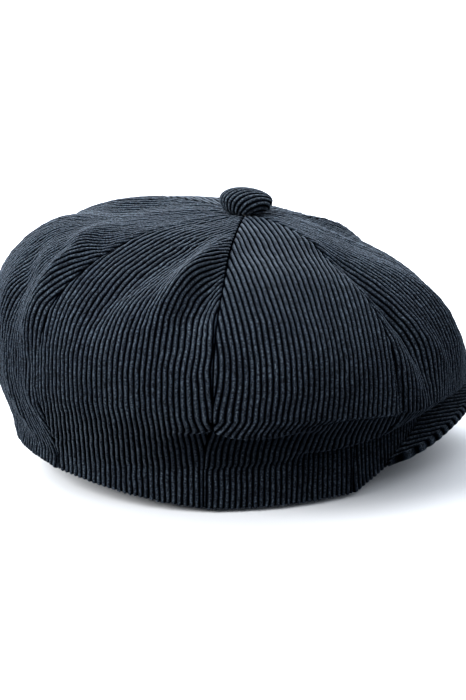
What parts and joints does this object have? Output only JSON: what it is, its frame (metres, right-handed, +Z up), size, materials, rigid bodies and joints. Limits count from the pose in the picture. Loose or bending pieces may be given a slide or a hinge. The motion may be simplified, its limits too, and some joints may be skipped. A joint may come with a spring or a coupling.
{
  "type": "newsboy cap",
  "caption": "Eight-gore corduroy newsboy cap with a full crown overhanging a short stiff brim, a covered top button, lining and sweatband.",
  "frame": {"origin": "on the surface the cap stands on, under the middle of the whole cap's bounding box", "axes": "+X towards the brim, +Y towards the wearer's left, +Z up to the button"},
  "size_m": [0.254, 0.247, 0.1327],
  "materials": {
    "corduroy": "dark blue-black cotton corduroy, wide rounded wales about 2.7 mm apart with a soft pile sheen",
    "lining": "smooth black satin lining",
    "interlining": "unbleached stiffening tape",
    "sweatband": "black cotton twill, matte",
    "brim_board": "translucent grey polyethylene sheet, matte",
    "button_metal": "plain tinned steel"
  },
  "bodies": {
    "crown": {"crown_panel_front": "corduroy", "crown_panel_front_left": "corduroy", "crown_panel_left": "corduroy", "crown_panel_rear_left": "corduroy", "crown_panel_rear": "corduroy", "crown_panel_rear_right": "corduroy", "crown_panel_right": "corduroy", "crown_panel_front_right": "corduroy", "lining_front": "lining", "lining_front_left": "lining", "lining_left": "lining", "lining_rear_left": "lining", "lining_rear": "lining", "lining_rear_right": "lining", "lining_right": "lining", "lining_front_right": "lining", "hem_interlining": "interlining", "sweatband": "sweatband", "button_washer": "button_metal"},
    "brim": {"brim_top_cover": "corduroy", "brim_board": "brim_board", "brim_under_cover": "corduroy"},
    "button": {"button_cover": "corduroy", "button_shell": "button_metal", "button_back": "button_metal", "button_shank": "button_metal"}
  },
  "joints": [
    {"name": "brim_flex", "type": "hinge", "parent": "crown", "child": "brim", "pos_m": [0.048, 0, 0.01], "axis": [0, 1, 0], "range_deg": [0, 12], "stiffness_Nm_per_rad": 0.12, "springref_deg": -17.19},
    {"name": "button_turn", "type": "hinge", "parent": "crown", "child": "button", "pos_m": [0, 0, 0.122], "axis": [0, 0, 1], "continuous": true}
  ]
}
